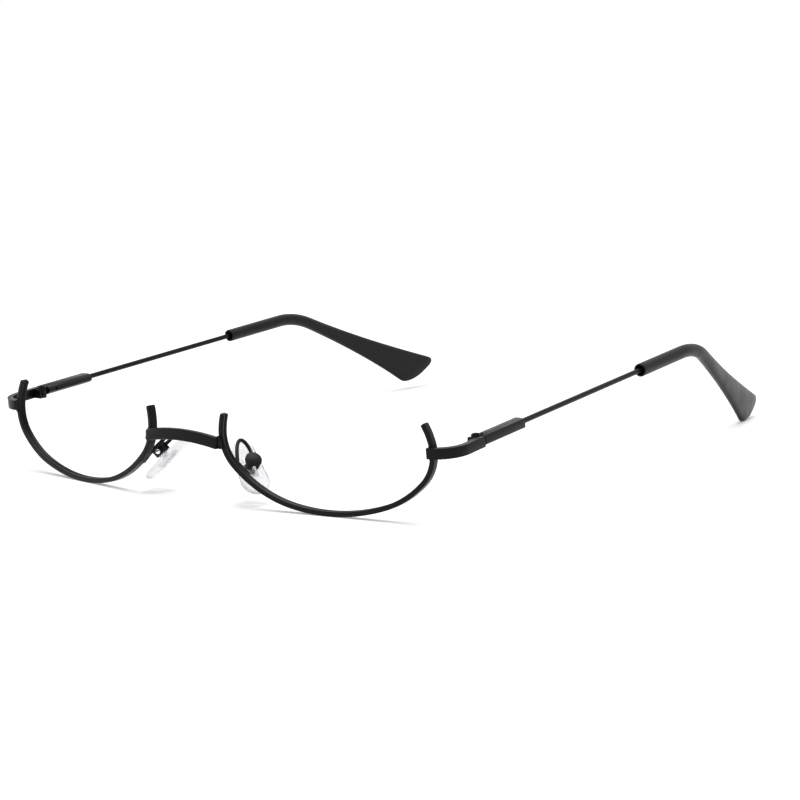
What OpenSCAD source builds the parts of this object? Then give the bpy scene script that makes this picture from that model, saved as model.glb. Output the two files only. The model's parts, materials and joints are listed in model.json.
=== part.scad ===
// Half-frame eyeglasses: two grooved wire rims that run under the lens place
// and end in open stubs, a soldered bridge and end pieces, adjustable nose
// pads, sprung hinges and wire temples with plastic ear tips.
// Millimetres. X runs across the face, Y from the front to the ear, Z up.
// The part stands open on a table at Z = 0, on its rims and its ear tips.

/* [Rims] */
// Distance from the middle of the bridge to the middle of one rim
rim_offset = 34.4; // [31:0.1:38]
// Angle that each rim turns back towards the temple
face_form = 9; // [4:0.5:13]
// Thickness of the rim wire across the lens edge
rim_wall = 1.15; // [0.8:0.05:1.6]
// Depth of the rim wire from front to back
rim_depth = 1.95; // [1.3:0.05:2.6]
// Bevel on the long edges of the rim wire
rim_bevel = 0.16; // [0.05:0.01:0.25]
// Depth of the groove that held the lens edge
groove_depth = 0.32; // [0.1:0.02:0.45]
// Width of the groove that held the lens edge
groove_width = 0.9; // [0.4:0.05:1]
// Distance from the middle of the rim to its outer stub
stub_reach = 25.3; // [22:0.1:28]
// Slope of the outer stub at its cut end, in degrees below level
stub_slope = 57.5; // [45:0.5:75]
// Bend radius of the outer stub
arc_radius_1 = 15.2; // [10:0.1:30]
// Bend radius of the outer side
arc_radius_2 = 8.8; // [6:0.1:14]
// Bend radius of the outer lower corner
arc_radius_3 = 22.3; // [15:0.1:35]
// Bend radius of the bottom
arc_radius_4 = 43.2; // [30:0.1:70]
// Bend radius of the lower nose side
arc_radius_5 = 29.4; // [20:0.1:45]
// Bend radius of the nose side
arc_radius_6 = 10; // [7:0.1:16]
// Bend radius of the inner stub
arc_radius_7 = 16.7; // [10:0.1:40]
// Turn of the outer stub
arc_turn_1 = 17.8; // [12:0.1:24]
// Turn of the outer side
arc_turn_2 = 58.1; // [50:0.1:64]
// Turn of the outer lower corner
arc_turn_3 = 27.6; // [22:0.1:32]
// Turn of the bottom
arc_turn_4 = 30.3; // [26:0.1:36]
// Turn of the lower nose side
arc_turn_5 = 33.2; // [28:0.1:38]
// Turn of the nose side
arc_turn_6 = 48.5; // [42:0.1:52]
// Turn of the inner stub
arc_turn_7 = 12.3; // [6:0.1:16]

/* [Bridge] */
// Height of the bridge bar
bridge_high = 2.6; // [1.8:0.05:3.2]
// Depth of the bridge bar from front to back
bridge_deep = 1.5; // [1:0.05:1.8]
// Height of the middle of the bar's ends above the table
bridge_end_height = 14.1; // [12.5:0.1:15.5]
// Rise of the bar's middle over its ends
bridge_rise = 1.2; // [0.4:0.1:2.5]
// Half of the bar's length
bridge_half = 10.5; // [9.9:0.05:10.9]

/* [End pieces] */
// Height of the end piece bar
end_high = 2.3; // [1.9:0.05:3]
// Thickness of the end piece bar
end_thick = 1.35; // [1.1:0.05:1.35]
// Outer bend radius of the end piece
end_bend = 6.4; // [4:0.1:7.5]
// Angle that the end piece rises towards the hinge
end_rise = 5.6; // [4.4:0.1:7]
// Distance that the end piece sits below the hinge screw's middle
end_drop = 0.2; // [0:0.02:0.3]
// Distance that the end piece runs past the middle of the rim wire
end_overrun = 0.05; // [0:0.05:0.4]

/* [Hinges] */
// Distance from the middle of the frame to the hinge screw
pin_x = 64.9; // [64:0.1:66.5]
// Distance from the middle plane of the rims back to the hinge screw
pin_y = 14.4; // [13:0.1:18]
// Height of the hinge screw's middle above the table
pin_z = 16.85; // [16.2:0.05:17.2]
// Distance from the hinge screw out to the outer face of the bars
pin_inset = 2.4; // [2.35:0.05:2.6]
// Diameter of the fixed hinge knuckles
knuckle_size = 2.1; // [1.9:0.05:2.1]
// Height of the moving knuckle
eye_high = 1.14; // [0.9:0.02:1.14]
// Height of the fixed knuckles above the screw's middle
knuckle_top = 1.15; // [1.05:0.05:1.6]
// Depth of the fixed knuckles below the screw's middle
knuckle_bottom = 1.5; // [1.2:0.05:1.9]
// Length of the hinge plate along the end piece
hinge_plate = 1.6; // [1.3:0.1:3]
// Diameter of the hinge screw
screw_size = 0.9; // [0.7:0.05:1]
// Diameter of the hinge screw's head
screw_head = 1.5; // [1.2:0.05:1.8]
// Height of the hinge screw's head
screw_head_high = 0.2; // [0.15:0.05:0.4]
// Gap all round the turning pieces of the hinge
hinge_gap = 0.05; // [0.03:0.01:0.07]
// Gap between the end piece and the temple bar
seam_gap = 0.2; // [0.15:0.01:0.3]

/* [Spring boxes] */
// Travel of the sprung slider
spring_travel = 1.2; // [0.6:0.1:1.5]
// Diameter of the bore for the coil spring
chamber_size = 1.44; // [1.3:0.02:1.5]
// Diameter of the slider's rod
rod_size = 0.62; // [0.5:0.02:0.66]
// Thickness of the box's front wall
box_wall = 1; // [0.6:0.1:1.4]
// Diameter of the coil spring's wire
coil_wire = 0.26; // [0.16:0.02:0.28]
// Number of turns that the coil spring shows
coil_turns = 14; // [8:1:18]
// Diameter of the guide pin in the box
guide_size = 0.7; // [0.5:0.05:0.9]

/* [Temples] */
// Angle that each temple runs inwards towards the ear
temple_toe = 2; // [0:0.1:3]
// Angle that each temple rises towards the ear
temple_rise = 5.05; // [4.4:0.1:5.8]
// Length of the temple bar behind the seam
bar_long = 15.2; // [13.5:0.1:18]
// Height of the temple bar
bar_high = 2.15; // [1.9:0.05:2.6]
// Thickness of the temple bar
bar_thick = 1.2; // [0.9:0.05:1.2]
// Diameter of the temple wire
wire_size = 1.2; // [0.9:0.05:1.4]
// Distance from the outer face of the bar in to the temple wire
wire_inset = 1.5; // [1.3:0.05:1.7]
// Distance from the hinge screw to the bend over the ear
bend_start = 85.6; // [78:0.1:92]
// Bend radius over the ear
bend_radius = 23.5; // [18:0.5:32]
// Bend angle over the right ear
bend_turn_right = 33.15; // [26:0.05:38]
// Bend angle over the left ear
bend_turn_left = 29.1; // [24:0.05:38]
// Angle that the right bend leans inwards
bend_lean_right = 19.7; // [10:0.1:25]
// Angle that the left bend leans inwards
bend_lean_left = 11.4; // [0:0.1:25]

/* [Ear tips] */
// Distance from the hinge screw to the open mouth of the ear tip
mouth_start = 66.2; // [60:0.1:75]
// Diameter of the ear tip's round part
tip_size = 3.1; // [2.8:0.1:3.6]
// Diameter of the hollow in the mouth
mouth_bore = 2.3; // [1.8:0.05:2.4]
// Depth of the hollow in the mouth
mouth_deep = 5; // [2:0.5:8]
// Length of the flared end behind the bend
paddle_long = 46; // [38:0.5:48]
// Width of the flared end
paddle_wide = 10.4; // [8:0.1:12]
// Thickness of the flared end
paddle_thick = 2.2; // [1.6:0.1:2.6]
// Distance that the upper corner runs past the lower one
paddle_skew = 8; // [0:0.1:10]
// Radius of the flared end's upper corner
corner_upper = 2.3; // [1:0.1:3]
// Radius of the flared end's lower corner
corner_lower = 4; // [2:0.1:4.5]
// Length of the wire core behind the bend
core_long = 26; // [12:0.5:30]

/* [Nose pads] */
// Distance from the middle of the frame to the pad's middle
pad_x = 12.2; // [11.8:0.1:13.2]
// Distance that the pad's middle stands behind the rims
pad_y = 2.6; // [2.2:0.1:4]
// Height of the pad's middle above the table
pad_z = 7.5; // [6.8:0.1:8]
// Angle that the pad leans away from upright
pad_lean = 44.5; // [38:0.1:48]
// Angle that the pad turns round the upright
pad_turn = 66; // [60:0.1:82]
// Length of the pad
pad_long = 13.9; // [11.5:0.1:15]
// Width of the pad at its broad lower end
pad_wide = 6.6; // [5.5:0.1:7.6]
// Width of the pad at its narrow upper end
pad_narrow = 5.2; // [4:0.1:5.6]
// Thickness of the pad
pad_thick = 2.2; // [1.8:0.05:2.3]
// Distance from the pad's middle to the pad screw
lug_reach = 2.4; // [2.35:0.05:2.7]
// Thickness of the lug that carries the pad
lug_thick = 1.1; // [0.8:0.05:1.2]
// Diameter of the lug's round head
lug_head = 1.4; // [1.2:0.05:1.4]
// Diameter of the pad screw
pad_screw_size = 0.7; // [0.5:0.05:0.8]
// Diameter of the cup that holds the lug
cup_size = 3.7; // [3:0.05:3.9]
// Height of the cup that holds the lug
cup_high = 1.9; // [1.8:0.05:2.2]
// Gap between the lug and the cup
lug_gap = 0.1; // [0.06:0.01:0.15]

/* [Pad arms] */
// Diameter of the arm's wire
arm_size = 0.85; // [0.7:0.05:1]
// How far the loop is pulled inwards as it leaves the rim
foot_pull_in = 5.4; // [3:0.1:8]
// How far the loop is pulled back as it leaves the rim
foot_pull_back = 4.7; // [3:0.1:7]
// How far the loop is pulled up as it leaves the rim
foot_pull_up = 7.4; // [5:0.1:9]
// How far the loop is pulled inwards as it comes to the cup
cup_pull_in = 3.5; // [2:0.1:5]
// How far the loop is pulled back as it comes to the cup
cup_pull_back = 3.2; // [1:0.1:5]
// How far the loop is pulled up as it comes to the cup
cup_pull_up = 2.8; // [1:0.1:5]
// Number of straight pieces in the arm's loop
loop_steps = 7; // [5:1:12]

/* [Hidden] */
$fn = 48;
hair = 0.02;
tiny = 0.01;
// Overlap that makes neighbouring pieces of one body run into each other
lap = 0.001;
wide = 60;
half_wall = rim_wall / 2;
half_depth = rim_depth / 2;
half_groove = groove_width / 2;

// The rim is a chain of seven tangent arcs, listed as radius and turn
rim_arcs = [
  [arc_radius_1, arc_turn_1],
  [arc_radius_2, arc_turn_2],
  [arc_radius_3, arc_turn_3],
  [arc_radius_4, arc_turn_4],
  [arc_radius_5, arc_turn_5],
  [arc_radius_6, arc_turn_6],
  [arc_radius_7, arc_turn_7]
];
last_arc = len(rim_arcs) - 1;
bottom_arc = last_arc / 2;

// Heading at the start of arc k
function arc_head(k) = k == 0 ? -stub_slope : arc_head(k - 1) - rim_arcs[k - 1][1];
// Centre of arc k, with the stub's cut end at height 0
function arc_start(k) = k == 0 ? [stub_reach, 0] : arc_at(k - 1, 1);
function arc_middle(k) = arc_start(k) + rim_arcs[k][0] * [sin(arc_head(k)), -cos(arc_head(k))];
// Point at the share f of arc k
function arc_at(k, f) = arc_middle(k)
  + rim_arcs[k][0] * [-sin(arc_head(k) - f * rim_arcs[k][1]), cos(arc_head(k) - f * rim_arcs[k][1])];
// Every second arc runs a little into its neighbours, as an angle, and the
// others are thinner by a hair's breadth, so that their faces never coincide
function arc_lap(k) = k % 2 == 1 ? 0.1 / rim_arcs[k][0] * 57.3 : 0;
function arc_thinner(k) = k % 2 == 0 ? tiny : 0;
// Height that puts the underside of the rim on the table
rim_lift = half_wall + rim_arcs[bottom_arc][0] - arc_middle(bottom_arc)[1];
rim_outer = arc_middle(1)[0] + rim_arcs[1][0];

// Turning a point about each axis, and from the rim or the temple to the part
function turn_x(a, p) = [p[0], p[1] * cos(a) - p[2] * sin(a), p[1] * sin(a) + p[2] * cos(a)];
function turn_y(a, p) = [p[0] * cos(a) + p[2] * sin(a), p[1], p[2] * cos(a) - p[0] * sin(a)];
function turn_z(a, p) = [p[0] * cos(a) - p[1] * sin(a), p[0] * sin(a) + p[1] * cos(a), p[2]];
function from_rim(p) = turn_z(face_form, p) + [rim_offset, 0, rim_lift];
function from_temple(p) = turn_z(temple_toe, turn_x(temple_rise, p)) + [pin_x, pin_y, pin_z];

// Bridge: its back is a circle that touches both rims' front faces
rim_front_line = half_depth + rim_offset * sin(face_form);
touch_x = bridge_half - half_wall / 2;
bridge_back = touch_x / sin(face_form);
bridge_middle = (bridge_back - rim_front_line) / cos(face_form);
arch_radius = (bridge_half * bridge_half + bridge_rise * bridge_rise) / (2 * bridge_rise);
arch_middle = bridge_end_height + bridge_rise - arch_radius;

// End piece: a straight side, a bend and a short arm on the rim's front face
arm_turn = 90 - face_form + temple_toe;
end_inner = pin_inset - end_thick;
arm_normal = [cos(arm_turn), -sin(arm_turn)];
rim_cross = [
  rim_offset + rim_outer * cos(face_form) + (half_depth + end_thick) * sin(face_form),
  rim_outer * sin(face_form) - (half_depth + end_thick) * cos(face_form)
];
cross_flat = turn_z(-temple_toe, [rim_cross[0] - pin_x, rim_cross[1] - pin_y, 0]);
arm_line = cross_flat * [arm_normal[0], arm_normal[1], 0];
side_long = (arm_line - end_bend - arm_normal[0] * (pin_inset - end_bend)) / -arm_normal[1];
bend_middle = [pin_inset - end_bend, -side_long];
arm_tangent = [arm_normal[1], -arm_normal[0]];
arm_reach = (cross_flat[0] - bend_middle[0]) * arm_tangent[0]
  + (cross_flat[1] - bend_middle[1]) * arm_tangent[1];
arm_long = arm_reach + half_wall + end_overrun;
saddle_extra = 0.35;
saddle_reach = 4 * rim_depth;

// Hinge and spring box
knuckle_r = knuckle_size / 2;
eye_r = knuckle_r - 2 * hinge_gap;
slot_half = eye_high / 2 + hinge_gap;
slot_reach = knuckle_r + 3 * hinge_gap;
screw_r = screw_size / 2;
head_r = screw_head / 2;
bar_inner = pin_inset - bar_thick;
bar_end = seam_gap + bar_long;
box_front = knuckle_r + 7 * hinge_gap;
chamber_r = chamber_size / 2;
chamber_front = box_front + box_wall;
chamber_end = bar_end - box_wall * 0.8;
rod_r = rod_size / 2;
rod_head = 1;
rod_end = chamber_end - box_wall * 0.7;
neck_half = eye_high / 2 - 0.12;
coil_r = (chamber_r + rod_r) / 2 + hair / 2;
coil_first = chamber_front + coil_wire / 2 + hinge_gap;
coil_last = rod_end - rod_head - spring_travel - coil_wire / 2 - hinge_gap;
coil_step = (coil_last - coil_first) / (coil_turns - 1);
guide_y = box_front + 2.4;
guide_r = guide_size / 2;
guide_sunk = 0.06;
wire_r = wire_size / 2;
wire_x = pin_inset - wire_inset;
edge_bevel = 0.25;
box_round = 0.95;
box_cheek = 0.4;
cheek_drop = 0.3;
side_drop = 0.68;

// Ear tip: sections of the flared end, round where it leaves the bend and
// flatter and wider towards its rounded corners
tip_r = tip_size / 2;
core_bore_r = wire_r + hair;
tip_lap = 0.2;
paddle_half = paddle_wide / 2;
paddle_r = paddle_thick / 2;
flank_first = 0.75;
flank_steps = 10;
corner_steps = 6;
corner_start = paddle_long - corner_lower;
blend_share = 0.35;
tip_bevel = 0.4;
paddle_rows = flank_steps + corner_steps;
paddle_sides = 24;
function flank_at(q) = tip_r - hair + flank_first * q + (paddle_half - tip_r + hair - flank_first) * q * q;
function corner_turn(k) = 90 * max(0, k - flank_steps) / corner_steps;
function paddle_y(k) = min(corner_start, k * (corner_start + tip_lap) / flank_steps - tip_lap)
  + corner_lower * sin(corner_turn(k));
function share(k) = max(0, paddle_y(k)) / paddle_long;
function blend(k) = min(1, share(k) / blend_share);
// Amount that a corner of radius r takes off the width at the place y
function cut_off(y, r) = r - sqrt(max(0, r * r - pow(max(0, y - paddle_long + r), 2)));
function paddle_w(k, r) = flank_at(share(k)) - cut_off(paddle_y(k), r);
function paddle_d(k) = tip_r - hair + (paddle_r - tip_r + hair) * blend(k) - tip_bevel * (1 - cos(corner_turn(k)));
function bulge(v, k) = sign(v) * pow(abs(v), 1 - 0.25 * blend(k));
function paddle_z(k, a) = bulge(sin(a), k) * paddle_w(k, a < 180 ? corner_upper : corner_lower);
function paddle_point(k, a) = [
  paddle_d(k) * bulge(cos(a), k),
  paddle_y(k) + paddle_skew / 2 * paddle_z(k, a) / paddle_half * share(k) * share(k),
  paddle_z(k, a)
];
// Place of point j of section k in the list of the flared end's points
function spot(k, j) = k * paddle_sides + j % paddle_sides;
// A point of the flared end, placed in the temple's frame
function past_bend(p, turn, lean) = [wire_x, bend_start, 0]
  + turn_y(lean, [0, 0, -bend_radius] + turn_x(-turn, [0, 0, bend_radius] + turn_y(-lean, p)));
function reach_back(turn, lean) = max([for (k = [flank_steps : paddle_rows]) for (j = [0 : paddle_sides - 1])
  from_temple(past_bend(paddle_point(k, j * 360 / paddle_sides), turn, lean))[1]]);
tip_back = max(reach_back(bend_turn_right, bend_lean_right), reach_back(bend_turn_left, bend_lean_left));

// Nose pad
cup_r = cup_size / 2;
cup_start = lug_reach + cup_high / 2 - cup_high + 0.08;
cup_end = cup_start + cup_high;
lug_r = lug_head / 2;
pad_screw_r = pad_screw_size / 2;
pad_head_r = pad_screw_r * 1.5;
pad_head_high = 0.35;
pad_head_sunk = 0.15;
plate_long = 5;
plate_wide = 2.6;
plate_thick = 0.5;
low_r = pad_wide / 2;
high_r = pad_narrow / 2;
low_at = low_r - pad_long / 2;
high_at = pad_long / 2 - high_r;
flank = asin((low_r - high_r) / (high_at - low_at));
dome_radius = 14;
dome_sunk = 0.03;
arm_r = arm_size / 2;
function from_pad(p) = turn_z(pad_turn, turn_x(pad_lean, p)) + [pad_x, pad_y, pad_z];
foot_low = from_rim([arc_at(4, 0.79)[0], half_depth + arm_r, arc_at(4, 0.79)[1]]);
foot_high = from_rim([arc_at(5, 0.04)[0], half_depth + arm_r, arc_at(5, 0.04)[1]]);
cup_back = from_pad([0, 0, cup_end - arm_r * 1.2]);
pull_1 = foot_high + [-foot_pull_in, foot_pull_back, foot_pull_up];
pull_2 = cup_back + [-cup_pull_in, cup_pull_back, cup_pull_up];
function loop_at(t) = pow(1 - t, 3) * foot_high + 3 * pow(1 - t, 2) * t * pull_1
  + 3 * (1 - t) * t * t * pull_2 + pow(t, 3) * cup_back;

// The part's middle from front to back, so that the whole is centred on Y = 0
part_front = bridge_middle - bridge_back - bridge_deep;
middle_y = (part_front + tip_back) / 2;

module right() {
  translate([0, -middle_y, 0])
    children();
}

module left() {
  mirror([1, 0, 0])
    right()
      children();
}

module rim_frame() {
  translate([rim_offset, 0, rim_lift])
    rotate([0, 0, face_form])
      children();
}

module hinge_frame() {
  translate([pin_x, pin_y, pin_z])
    rotate([0, 0, temple_toe])
      children();
}

module temple_frame() {
  hinge_frame()
    rotate([temple_rise, 0, 0])
      children();
}

module pad_frame() {
  translate([pad_x, pad_y, pad_z])
    rotate([pad_lean, 0, pad_turn])
      children();
}

// A cylinder that points along +Y from y0 to y1
module along_y(y0, y1, r) {
  translate([0, y0, 0])
    rotate([-90, 0, 0])
      cylinder(h = y1 - y0, r = r);
}

// A straight piece of round wire from p to q
module wire_piece(p, q, r) {
  d = q - p;
  flat = norm([d[0], d[1]]);
  translate(p)
    rotate([0, atan2(flat, d[2]), atan2(d[1], d[0])])
      cylinder(h = norm(d), r = r);
}

// Rim wire: flat outside, bevelled edges and a groove on the lens side
module rim_section(r, thinner) {
  w = half_wall - thinner;
  d = half_depth - thinner;
  polygon([
    [r - w, rim_bevel - d],
    [r - w, -half_groove - thinner],
    [r - w + groove_depth, 0],
    [r - w, half_groove + thinner],
    [r - w, d - rim_bevel],
    [r - w + rim_bevel, d],
    [r + w - rim_bevel, d],
    [r + w, d - rim_bevel],
    [r + w, rim_bevel - d],
    [r + w - rim_bevel, -d],
    [r - w + rim_bevel, -d]
  ]);
}

module rim() {
  color([0.11, 0.11, 0.12])
    rim_frame()
      rotate([90, 0, 0])
        for (k = [0 : last_arc])
          translate(arc_middle(k))
            rotate([0, 0, arc_head(k) - rim_arcs[k][1] + 90 - arc_lap(k)])
              rotate_extrude(angle = rim_arcs[k][1] + 2 * arc_lap(k), $fn = 180)
                rim_section(rim_arcs[k][0], arc_thinner(k));
}

module bridge() {
  color([0.11, 0.11, 0.12])
    translate([0, -middle_y, 0])
      intersection() {
        translate([0, bridge_middle, 0])
          difference() {
            cylinder(h = wide, r = bridge_back + bridge_deep, $fn = 180);
            translate([0, 0, -1])
              cylinder(h = wide + 2, r = bridge_back, $fn = 180);
          }
        translate([0, 0, arch_middle])
          rotate([90, 0, 0])
            difference() {
              cylinder(h = wide, r = arch_radius + bridge_high / 2, center = true, $fn = 180);
              cylinder(h = wide + 2, r = arch_radius - bridge_high / 2, center = true, $fn = 180);
            }
        translate([-bridge_half, part_front - bridge_deep, 0])
          cube([2 * bridge_half, 4 * bridge_deep, wide]);
      }
}

module end_plan() {
  translate([end_inner, -side_long - lap])
    square([end_thick, side_long + lap]);
  intersection() {
    translate(bend_middle)
      difference() {
        circle(r = end_bend, $fn = 120);
        circle(r = end_bend - end_thick, $fn = 120);
      }
    translate(bend_middle)
      polygon([
        [0, 0],
        [end_bend * 2, 0],
        [end_bend * 2, -end_bend * 2],
        [end_bend * 2 * cos(arm_turn), -end_bend * 2 * sin(arm_turn)]
      ]);
  }
  translate(bend_middle)
    rotate([0, 0, -arm_turn])
      translate([end_bend - end_thick - saddle_extra, -arm_long])
        square([end_thick + saddle_extra, arm_long + lap]);
}

module end_piece() {
  color([0.11, 0.11, 0.12])
    difference() {
      hinge_frame()
        rotate([end_rise, 0, 0])
          translate([0, 0, -end_drop])
            linear_extrude(height = end_high, center = true)
              end_plan();
      rim_frame()
        translate([rim_outer - saddle_reach, -half_depth, -wide / 2])
          cube([saddle_reach + arm_reach + half_wall, 2 * rim_depth, wide]);
    }
}

module hinge_plate() {
  color([0.13, 0.13, 0.14])
    hinge_frame()
      difference() {
        union() {
          translate([0, 0, -knuckle_bottom])
            cylinder(h = knuckle_bottom + knuckle_top, r = knuckle_r);
          translate([-knuckle_r, -hinge_plate, -knuckle_bottom])
            cube([knuckle_r + end_inner, hinge_plate, knuckle_bottom + knuckle_top - 0.5]);
        }
        translate([-wide / 2, -slot_reach, -slot_half])
          cube([wide, wide, 2 * slot_half]);
        translate([0, 0, -knuckle_bottom - 1])
          cylinder(h = knuckle_bottom + knuckle_top + 2, r = screw_r + hair);
        translate([end_inner, -seam_gap / 2, -wide / 2])
          cube([wide, wide, wide]);
      }
}

module hinge_screw() {
  color([0.2, 0.2, 0.21])
    hinge_frame()
      difference() {
        union() {
          translate([0, 0, -knuckle_bottom])
            cylinder(h = knuckle_bottom + knuckle_top + tiny, r = screw_r);
          translate([0, 0, knuckle_top])
            cylinder(h = screw_head_high, r = head_r);
        }
        translate([-head_r * 2, -0.12, knuckle_top + screw_head_high / 2])
          cube([head_r * 4, 0.24, 1]);
      }
}

module hinge_slider() {
  color([0.45, 0.45, 0.47])
    difference() {
      union() {
        hinge_frame()
          cylinder(h = eye_high, r = eye_r, center = true);
        temple_frame() {
          translate([-eye_r * 0.6, 0, -neck_half])
            cube([eye_r * 1.2, box_front - hinge_gap, 2 * neck_half]);
          along_y(box_front - 2 * hinge_gap, rod_end, rod_r);
          along_y(rod_end - rod_head, rod_end, chamber_r - hinge_gap);
        }
      }
      hinge_frame()
        cylinder(h = wide, r = screw_r + hinge_gap, center = true);
    }
}

module coil_spring() {
  color([0.6, 0.6, 0.62])
    temple_frame()
      for (k = [0 : coil_turns - 1])
        translate([0, coil_first + k * coil_step, 0])
          rotate([-90, 0, 0])
            rotate_extrude()
              translate([coil_r, 0])
                circle(r = coil_wire / 2, $fn = 24);
}

module spring_box() {
  color([0.11, 0.11, 0.12])
    temple_frame()
      difference() {
        translate([0, bar_end, 0])
          rotate([90, 0, 0])
            linear_extrude(height = bar_end - box_front)
              polygon([
                [bar_inner, -bar_high / 2],
                [bar_inner, bar_high / 2],
                [box_round - knuckle_r, bar_high / 2],
                [box_cheek - knuckle_r, bar_high / 2 - cheek_drop],
                [-knuckle_r, bar_high / 2 - side_drop],
                [-knuckle_r, side_drop - bar_high / 2],
                [box_cheek - knuckle_r, cheek_drop - bar_high / 2],
                [box_round - knuckle_r, -bar_high / 2]
              ]);
        along_y(box_front - 1, chamber_front + 1, rod_r + hinge_gap);
        along_y(chamber_front, chamber_end, chamber_r);
        translate([-knuckle_r - 1, guide_y, 0])
          rotate([0, 90, 0])
            cylinder(h = 1 + knuckle_r, r = guide_r);
      }
}

module guide_pin() {
  color([0.05, 0.05, 0.05])
    temple_frame()
      difference() {
        translate([guide_sunk - knuckle_r, guide_y, 0])
          rotate([0, 90, 0])
            cylinder(h = knuckle_r, r = guide_r);
        along_y(chamber_front, chamber_end, chamber_r);
        translate([guide_sunk * 2 - rod_r - hinge_gap, guide_y - 1, -1])
          cube([2, 2, 2]);
      }
}

module temple_bar() {
  color([0.11, 0.11, 0.12])
    temple_frame()
      translate([0, bar_end, 0])
        rotate([90, 0, 0])
          linear_extrude(height = bar_long)
            polygon([
              [bar_inner, -bar_high / 2],
              [pin_inset - edge_bevel, -bar_high / 2],
              [pin_inset, edge_bevel - bar_high / 2],
              [pin_inset, bar_high / 2 - edge_bevel],
              [pin_inset - edge_bevel, bar_high / 2],
              [bar_inner, bar_high / 2]
            ]);
}

// The bend over the ear, swept from a flat section round the bend's middle
module bend_piece(turn, lean) {
  temple_frame()
    translate([wire_x, bend_start, 0])
      rotate([0, lean, 0])
        translate([0, 0, -bend_radius])
          rotate([0, 90, 0])
            rotate([0, 0, 180 - turn])
              rotate_extrude(angle = turn, $fn = 180)
                translate([bend_radius, 0])
                  children();
}

module after_bend(turn, lean) {
  temple_frame()
    translate([wire_x, bend_start, 0])
      rotate([0, lean, 0])
        translate([0, 0, -bend_radius])
          rotate([-turn, 0, 0])
            translate([0, 0, bend_radius])
              rotate([0, -lean, 0])
                children();
}

module temple_wire(turn, lean) {
  color([0.11, 0.11, 0.12])
    union() {
      temple_frame()
        translate([wire_x, 0, 0])
          along_y(bar_end, bend_start + tip_lap, wire_r);
      bend_piece(turn, lean)
        circle(r = wire_r - tiny);
      after_bend(turn, lean)
        along_y(-tip_lap, core_long, wire_r);
    }
}

// The flared end: sections joined by triangles, with a flat cap at each end
module paddle() {
  polyhedron(
    points = [for (k = [0 : paddle_rows]) for (j = [0 : paddle_sides - 1]) paddle_point(k, j * 360 / paddle_sides)],
    faces = concat(
      [[for (j = [paddle_sides - 1 : -1 : 0]) j]],
      [for (k = [0 : paddle_rows - 1]) for (j = [0 : paddle_sides - 1])
        [spot(k, j), spot(k + 1, j + 1), spot(k + 1, j)]],
      [for (k = [0 : paddle_rows - 1]) for (j = [0 : paddle_sides - 1])
        [spot(k, j), spot(k, j + 1), spot(k + 1, j + 1)]],
      [[for (j = [0 : paddle_sides - 1]) spot(paddle_rows, j)]]
    )
  );
}

module ear_tip(turn, lean) {
  color([0.08, 0.08, 0.08])
    union() {
      temple_frame()
        translate([wire_x, 0, 0])
          difference() {
            along_y(mouth_start, bend_start + tip_lap, tip_r);
            along_y(mouth_start - 1, bend_start + 1, core_bore_r);
            along_y(mouth_start - 1, mouth_start + mouth_deep, mouth_bore / 2);
          }
      bend_piece(turn, lean)
        difference() {
          circle(r = tip_r - hair);
          circle(r = core_bore_r + hair);
        }
      after_bend(turn, lean)
        difference() {
          paddle();
          along_y(-1, core_long + hair, core_bore_r);
        }
    }
}

module pad_arm() {
  color([0.13, 0.13, 0.14])
    difference() {
      union() {
        wire_piece(foot_low, foot_high, arm_r);
        translate(foot_high)
          sphere(r = arm_r + hair);
        for (k = [0 : loop_steps - 1]) {
          wire_piece(loop_at(k / loop_steps), loop_at((k + 1) / loop_steps), arm_r);
          if (k > 0)
            translate(loop_at(k / loop_steps))
              sphere(r = arm_r + hair);
        }
      }
      pad_frame()
        translate([0, 0, cup_start])
          cylinder(h = cup_high, r = cup_r);
    }
}

module pad_cup() {
  color([0.13, 0.13, 0.14])
    pad_frame()
      difference() {
        translate([0, 0, cup_start])
          cylinder(h = cup_high, r = cup_r);
        translate([-lug_thick / 2 - lug_gap, -wide / 2, -1])
          cube([lug_thick + 2 * lug_gap, wide, 1 + lug_reach + lug_r + lug_gap]);
        translate([0, 0, lug_reach])
          rotate([0, 90, 0])
            cylinder(h = wide, r = pad_screw_r + hair, center = true);
        translate([0, 0, lug_reach])
          rotate([0, 90, 0])
            translate([0, 0, -cup_r - pad_head_high])
              cylinder(h = pad_head_high + pad_head_sunk + hair, r = pad_head_r + hair);
      }
}

module pad_screw() {
  color([0.75, 0.75, 0.77])
    pad_frame()
      translate([0, 0, lug_reach])
        rotate([0, 90, 0])
          union() {
            translate([0, 0, -cup_r])
              cylinder(h = 2 * cup_r, r = pad_screw_r);
            translate([0, 0, -cup_r - pad_head_high])
              cylinder(h = pad_head_high + pad_head_sunk, r = pad_head_r);
          }
}

module lug_shape(extra) {
  translate([-plate_wide / 2 - extra, -plate_long / 2 - extra, -plate_thick / 2 - extra])
    cube([plate_wide + 2 * extra, plate_long + 2 * extra, plate_thick + 2 * extra]);
  translate([-lug_thick / 2 - extra, -lug_r - extra, 0])
    cube([lug_thick + 2 * extra, 2 * lug_r + 2 * extra, lug_reach]);
  translate([0, 0, lug_reach])
    rotate([0, 90, 0])
      cylinder(h = lug_thick + 2 * extra, r = lug_r + extra, center = true);
}

module pad_core() {
  color([0.75, 0.75, 0.77])
    pad_frame()
      difference() {
        lug_shape(0);
        translate([0, 0, lug_reach])
          rotate([0, 90, 0])
            cylinder(h = wide, r = pad_screw_r + hinge_gap, center = true);
      }
}

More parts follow.
